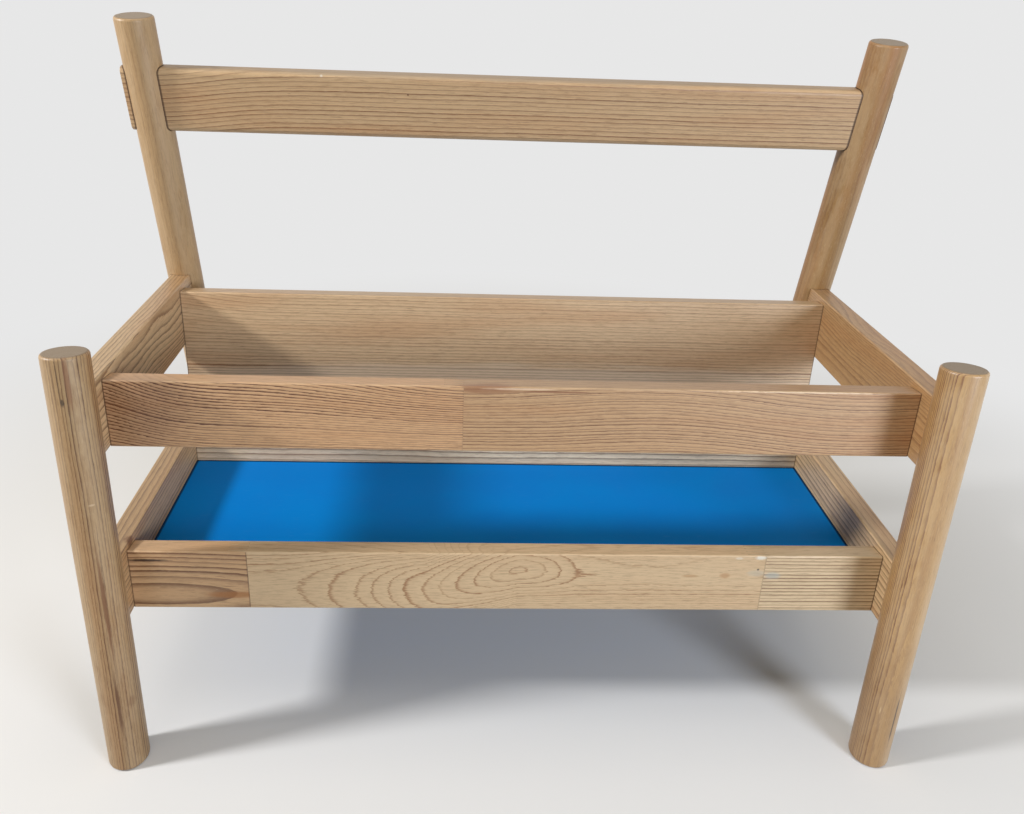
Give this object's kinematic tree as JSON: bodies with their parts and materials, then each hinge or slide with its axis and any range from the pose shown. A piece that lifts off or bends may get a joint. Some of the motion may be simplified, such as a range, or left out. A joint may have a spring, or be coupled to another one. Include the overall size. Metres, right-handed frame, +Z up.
{
  "type": "childrens book rack",
  "caption": "Low wooden rack for children's books: round legs, side rails let into them, front rails, back board, painted shelf panel in grooves and a high top rail.",
  "frame": {"origin": "on the floor, under the middle of the rack's bounding box", "axes": "+X along the rails to the right as seen from the front, +Y from the front legs to the back legs, +Z up"},
  "size_m": [0.6654, 0.3776, 0.5498],
  "materials": {
    "leg_pine": "clear satin lacquer",
    "side_pine": "clear satin lacquer",
    "board_pine": "clear satin lacquer",
    "pale_pine": "clear satin lacquer",
    "dowel_beech": "bare",
    "blue_paint": "satin blue paint"
  },
  "bodies": {
    "root": {"front_leg_left": "leg_pine", "front_leg_right": "leg_pine", "back_leg_left": "leg_pine", "back_leg_right": "leg_pine", "upper_side_rail_left": "side_pine", "upper_side_rail_right": "side_pine", "lower_side_rail_left": "side_pine", "lower_side_rail_right": "side_pine", "top_rail": "board_pine", "upper_front_rail_left": "board_pine", "upper_front_rail_right": "board_pine", "lower_front_rail_left": "board_pine", "lower_front_rail_middle": "pale_pine", "lower_front_rail_right": "pale_pine", "back_board": "board_pine", "lower_back_rail": "pale_pine", "shelf_panel": "blue_paint", "dowel_upper_front_left_low": "dowel_beech", "dowel_upper_front_left_high": "dowel_beech", "dowel_upper_front_right_low": "dowel_beech", "dowel_upper_front_right_high": "dowel_beech", "dowel_lower_front_left_low": "dowel_beech", "dowel_lower_front_left_high": "dowel_beech", "dowel_lower_front_right_low": "dowel_beech", "dowel_lower_front_right_high": "dowel_beech", "dowel_back_board_left_low": "dowel_beech", "dowel_back_board_left_high": "dowel_beech", "dowel_back_board_right_low": "dowel_beech", "dowel_back_board_right_high": "dowel_beech", "dowel_lower_back_left_low": "dowel_beech", "dowel_lower_back_left_high": "dowel_beech", "dowel_lower_back_right_low": "dowel_beech", "dowel_lower_back_right_high": "dowel_beech"}
  },
  "joints": []
}
